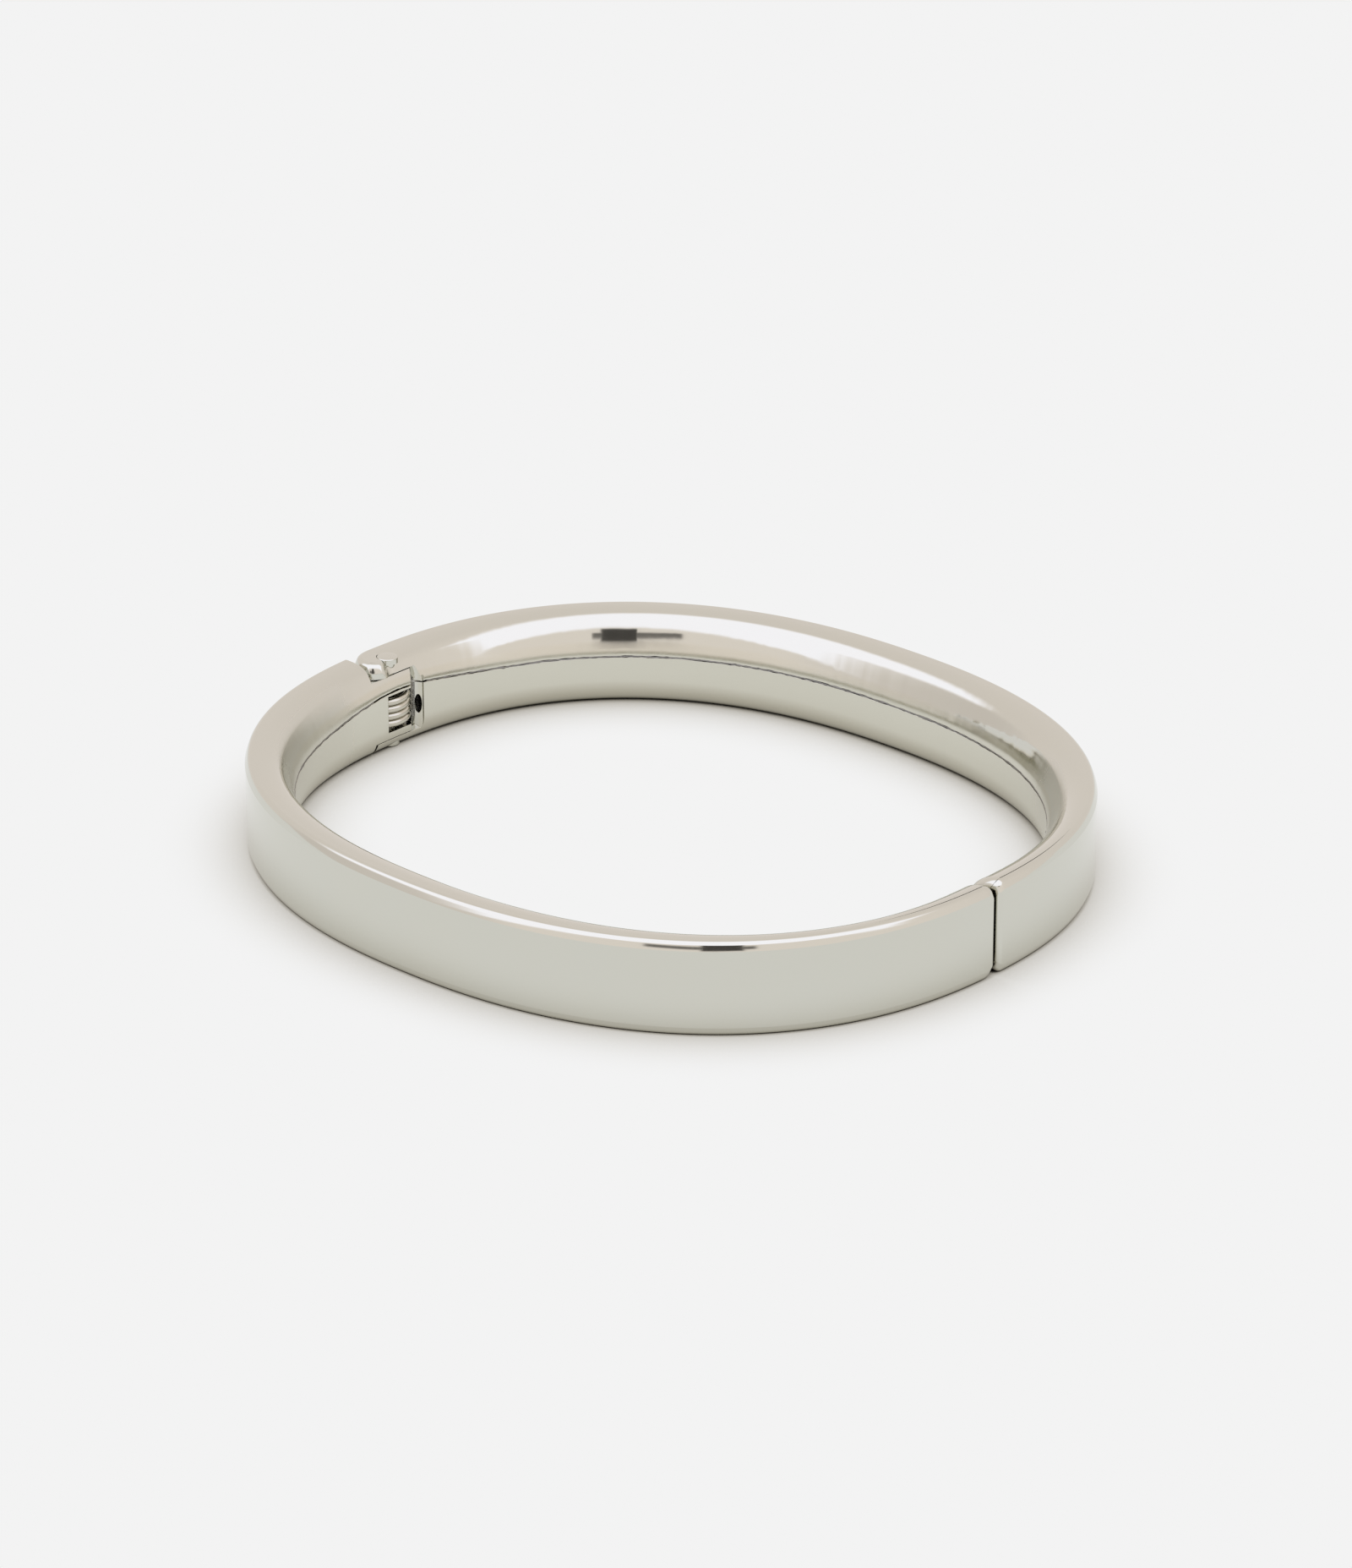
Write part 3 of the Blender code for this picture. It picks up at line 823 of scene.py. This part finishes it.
# Where the two dull bends begin and end, in plan.
BEND_RIGHT = (16 * MM, 22 * MM)
BEND_LEFT = (-25 * MM, -19 * MM)
BEND_FRONT = (-7 * MM, -4 * MM)


def polished_plate():
    """Mirror plate: faint haze, hairlines and polishing waves; the wrist side keeps its grinding marks."""
    material, tree, shader, where = new_metal("polished_plate")
    depth = attribute(tree, "depth")
    inner = ramp(tree, depth, *INNER_DEPTH)
    shoulder = ramp(tree, depth, *SHOULDER_DEPTH)
    cloud = noise_value(tree, where, 140, 3)
    haze = noise_value(tree, where, 900, 4, 0.6)
    lines = noise_value(tree, stretched(tree, where, (600, 600, 9000)), 1.0, 3)
    grind = noise_value(tree, stretched(tree, where, (7000, 7000, 700)), 1.0, 4, 0.65)
    colour = mix_colour(tree, cloud, PLATE, PLATE_WARM)
    colour = mix_colour(tree, inner, colour, PLATE_INNER)
    rough = mix_value(tree, haze, 0.035, 0.085)
    rough_inner = mix_value(tree, haze, 0.13, 0.24)
    rough = mix_value(tree, inner, rough, rough_inner)
    bends = oval_ends(tree, where)
    soft = maths(tree, "MULTIPLY", ramp(tree, depth, *BEND_DEPTH), bends)
    rough = mix_value(tree, soft, rough, BEND_ROUGHNESS)
    waves = noise_value(tree, stretched(tree, where, (330, 330, 330)), 1.0, 1)
    smooth = add_node(tree, "ShaderNodeBevel", {"Radius": 0.06 * MM}, samples=6).outputs[0]
    at_cuts = hinge_mask(tree, where)
    plain = add_node(tree, "ShaderNodeNewGeometry").outputs["Normal"]
    normal = mix_vector(tree, at_cuts, plain, smooth)
    normal = bump(tree, waves, 0.010 * MM, 1.0, normal)
    dents = noise_value(tree, where, 1500, 2)
    normal = bump(tree, dents, maths(tree, "MULTIPLY", shoulder, 0.0004 * MM), 1.0, normal)
    normal = bump(tree, lines, 0.00012 * MM, 1.0, normal)
    normal = bump(tree, grind, maths(tree, "MULTIPLY", inner, 0.0010 * MM), 1.0, normal)
    plug_in(tree, shader, colour, rough, normal)
    return material


def oval_ends(tree, where):
    """1 at the mouth's end of the oval and on the front arm's bend: a dull finish blurs reflections there."""
    parts = add_node(tree, "ShaderNodeSeparateXYZ", {0: where})
    right = ramp(tree, parts.outputs[0], *BEND_RIGHT)
    left = ramp(tree, parts.outputs[0], *BEND_LEFT, 1.0, 0.0)
    front = ramp(tree, parts.outputs[1], *BEND_FRONT, 1.0, 0.0)
    return maths(tree, "ADD", right, maths(tree, "MULTIPLY", left, front))


def hinge_mask(tree, where):
    """1 over the cut faces of the hinge, 0 along the arms, where a rounded normal would show the seam."""
    parts = add_node(tree, "ShaderNodeSeparateXYZ", {0: where})
    left = ramp(tree, parts.outputs[0], HINGE_SIDE_X - 4 * MM, HINGE_SIDE_X - 3 * MM, 1.0, 0.0)
    near = between(tree, parts.outputs[1], -3.2 * MM, 2.9 * MM, 0.1 * MM)
    inside = ramp(tree, parts.outputs[0], -32.2 * MM, -32.0 * MM)
    return maths(tree, "MULTIPLY", maths(tree, "MULTIPLY", left, near), inside)


def mix_vector(tree, share, first, second):
    made = add_node(tree, "ShaderNodeMix", {0: share}, data_type="VECTOR")
    tree.links.new(first, made.inputs[4])
    tree.links.new(second, made.inputs[5])
    return made.outputs[1]


def satin_plate():
    """Unpolished metal inside the joints: milled, slightly uneven and duller."""
    material, tree, shader, where = new_metal("satin_plate")
    cloud = noise_value(tree, where, 500, 3)
    milled = noise_value(tree, stretched(tree, where, (900, 900, 9000)), 1.0, 3)
    colour = mix_colour(tree, cloud, SATIN, SATIN_DARK)
    rough = mix_value(tree, cloud, 0.20, 0.34)
    normal = bump(tree, milled, 0.0012 * MM)
    plug_in(tree, shader, colour, rough, normal)
    return material


def spring_steel():
    """Drawn wire: fine lines and a slightly darker colour than the plate."""
    material, tree, shader, where = new_metal("spring_steel")
    cloud = noise_value(tree, where, 1300, 3)
    drawn = noise_value(tree, stretched(tree, where, (1500, 1500, 12000)), 1.0, 2)
    colour = mix_colour(tree, cloud, STEEL, STEEL_DARK)
    rough = mix_value(tree, cloud, 0.12, 0.22)
    normal = bump(tree, drawn, 0.0008 * MM)
    plug_in(tree, shader, colour, rough, normal)
    return material


def peened_plate():
    """Rivet: polished over, with shallow hammer marks on its crown."""
    material, tree, shader, where = new_metal("peened_plate")
    cloud = noise_value(tree, where, 700, 3)
    marks = noise_value(tree, where, 2300, 1)
    colour = mix_colour(tree, cloud, PLATE, PLATE_WARM)
    rough = mix_value(tree, cloud, 0.06, 0.12)
    normal = bump(tree, marks, 0.006 * MM)
    plug_in(tree, shader, colour, rough, normal)
    return material


def solder_metal():
    """Solder: grainy and dull, darker in its pits."""
    material, tree, shader, where = new_metal("solder_metal")
    grain = noise_value(tree, where, 9000, 4, 0.65)
    colour = mix_colour(tree, grain, SOLDER_DARK, SOLDER)
    rough = mix_value(tree, grain, 0.28, 0.46)
    normal = bump(tree, grain, 0.010 * MM)
    plug_in(tree, shader, colour, rough, normal)
    return material


def floor_paper():
    """White sweep that glows evenly, with a trace of grain; its shade near the ring is painted shade, worked
    out from how much the ring hems it in (ambient occlusion).
    """
    material = bpy.data.materials.new("floor_paper")
    material.use_nodes = True
    tree = material.node_tree
    tree.nodes.clear()
    where = add_node(tree, "ShaderNodeTexCoord").outputs["Object"]
    grain = noise_value(tree, where, 60, 2)
    reach = {"Distance": SHADE_REACH}
    # Painted shade: the ambient occlusion darkens and warms the glowing floor near the ring.
    open_share = add_node(tree, "ShaderNodeAmbientOcclusion", reach, samples=12).outputs["AO"]
    closed = maths(tree, "DIVIDE", maths(tree, "SUBTRACT", 1.0, open_share), 1 - SHADE_FULL, clamp=True)
    shade = maths(tree, "SUBTRACT", 1.0, maths(tree, "POWER", closed, 2.0))
    light = maths(tree, "MULTIPLY", shade, mix_value(tree, grain, BACKDROP * 0.999, BACKDROP * 1.001))
    tint = mix_colour(tree, shade, SHADE_TINT, (1.0, 1.0, 1.0))
    shader = add_node(tree, "ShaderNodeEmission", {"Color": tint, "Strength": light})
    target = add_node(tree, "ShaderNodeOutputMaterial")
    tree.links.new(shader.outputs[0], target.inputs["Surface"])
    return material


# ---------------------------------------------------------------- stage

SOFTBOX = 1.37
SOFTBOX_TINT = (1.0, 1.0, 1.125)
BOX_LOW = 23.0
BOX_HIGH = 103.0
BOX_SLANT = (-30.0, -8.0)
BOX_ACROSS = (-0.93, 0.86)
CARD = 0.08
CARD_AZIMUTH = (37.5, 51.5)
CARD_ELEVATION = (12.5, 22.0)
BAR_AZIMUTH = (20, 55.5)
BAR_ELEVATION = (14.5, 18.5)
BAR_SHARE = 0.85
WALL_FRONT = 1.00
WALL_BACK = 0.90
WARM = (1.0, 0.93, 0.90)


def patch(tree, azimuth, sides, elevation, ends):
    """1 inside a rectangle of directions."""
    return maths(tree, "MULTIPLY", between(tree, azimuth, *sides, 1.0), between(tree, elevation, *ends, 1.0))


def studio_world():
    """Studio seen by all but the camera: warm pale walls, a softbox overhead, a dark card and bar."""
    world = bpy.data.worlds.new("studio")
    world.use_nodes = True
    tree = world.node_tree
    tree.nodes.clear()
    aim = add_node(tree, "ShaderNodeTexCoord").outputs["Generated"]
    turned = add_node(tree, "ShaderNodeVectorRotate", {"Vector": aim, "Angle": -math.radians(CAMERA_AZIMUTH)})
    turned.rotation_type = "Z_AXIS"
    across, away, up = add_node(tree, "ShaderNodeSeparateXYZ", {0: turned.outputs[0]}).outputs
    towards = maths(tree, "MULTIPLY", away, -1.0)
    degrees = 180 / math.pi
    elevation = maths(tree, "MULTIPLY", maths(tree, "ARCSINE", up), degrees)
    azimuth = maths(tree, "MULTIPLY", maths(tree, "ARCTAN2", across, towards), degrees)
    azimuth = maths(tree, "ADD", azimuth, CAMERA_AZIMUTH)
    sweep = maths(tree, "MULTIPLY", maths(tree, "ARCTAN2", up, towards), degrees)
    walls = mix_value(tree, ramp(tree, towards, -0.5, 0.5), WALL_BACK, WALL_FRONT)
    walls = maths(tree, "MULTIPLY", walls, ramp(tree, across, -1.0, -0.80, 0.86, 1.0))
    card = patch(tree, azimuth, CARD_AZIMUTH, elevation, CARD_ELEVATION)
    bar = patch(tree, azimuth, BAR_AZIMUTH, elevation, BAR_ELEVATION)
    dark = maths(tree, "MAXIMUM", card, maths(tree, "MULTIPLY", bar, BAR_SHARE))
    walls = mix_value(tree, dark, walls, CARD)
    slant = maths(tree, "MULTIPLY_ADD", across, BOX_SLANT[1], BOX_SLANT[0])
    top = maths(tree, "MULTIPLY_ADD", across, slant, BOX_HIGH)
    above = ramp(tree, sweep, BOX_LOW - 1.5, BOX_LOW + 1.5)
    below = ramp(tree, maths(tree, "SUBTRACT", top, sweep), -9.0, 9.0)
    box = maths(tree, "MULTIPLY", above, below)
    box = maths(tree, "MULTIPLY", box, between(tree, across, *BOX_ACROSS, 0.06))
    light = mix_value(tree, box, walls, SOFTBOX)
    tint = mix_colour(tree, box, WARM, SOFTBOX_TINT)
    studio = add_node(tree, "ShaderNodeBackground", {"Color": tint, "Strength": light})
    plain = add_node(tree, "ShaderNodeBackground", {"Color": (1, 1, 1, 1), "Strength": BACKDROP})
    seen = add_node(tree, "ShaderNodeLightPath").outputs["Is Camera Ray"]
    mixed = add_node(tree, "ShaderNodeMixShader", {0: seen, 1: studio.outputs[0], 2: plain.outputs[0]})
    target = add_node(tree, "ShaderNodeOutputWorld")
    tree.links.new(mixed.outputs[0], target.inputs["Surface"])
    bpy.context.scene.world = world


def make_floor():
    mesh = bmesh.new()
    bmesh.ops.create_circle(mesh, cap_ends=True, segments=96, radius=3.0)
    floor = mesh_object("floor", mesh)
    floor.data.materials.append(floor_paper())


def make_camera():
    data = bpy.data.cameras.new("camera")
    data.lens = CAMERA_LENS
    data.clip_start = 0.01
    camera = bpy.data.objects.new("camera", data)
    aim = (CAMERA_TARGET - CAMERA_PLACE).to_track_quat("-Z", "Y").to_matrix()
    turned = (aim @ Matrix.Rotation(CAMERA_ROLL, 3, "Z")).to_4x4()
    camera.matrix_world = Matrix.Translation(CAMERA_PLACE) @ turned
    bpy.context.scene.collection.objects.link(camera)
    bpy.context.scene.camera = camera


def dress_cad_nodes(satin):
    """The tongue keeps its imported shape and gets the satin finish."""
    node = frame["nodes"]["front_hinge_block"]
    node.data.materials.clear()
    node.data.materials.append(satin)


def main():
    plate = polished_plate()
    satin = satin_plate()
    solder = solder_metal()
    for upper in (True, False):
        make_front_skin(upper, plate)
        make_back_skin(upper, plate)
    make_rivet(peened_plate())
    make_spring(spring_steel())
    make_mouth_cap(-1, "front_arm", satin)
    make_mouth_cap(1, "back_arm", satin)
    make_bulkhead(satin)
    make_solder(-1, "front_arm", solder)
    make_solder(1, "back_arm", solder)
    dress_cad_nodes(satin)
    studio_world()
    make_floor()
    make_camera()
    bpy.context.scene.view_settings.view_transform = "Standard"


main()
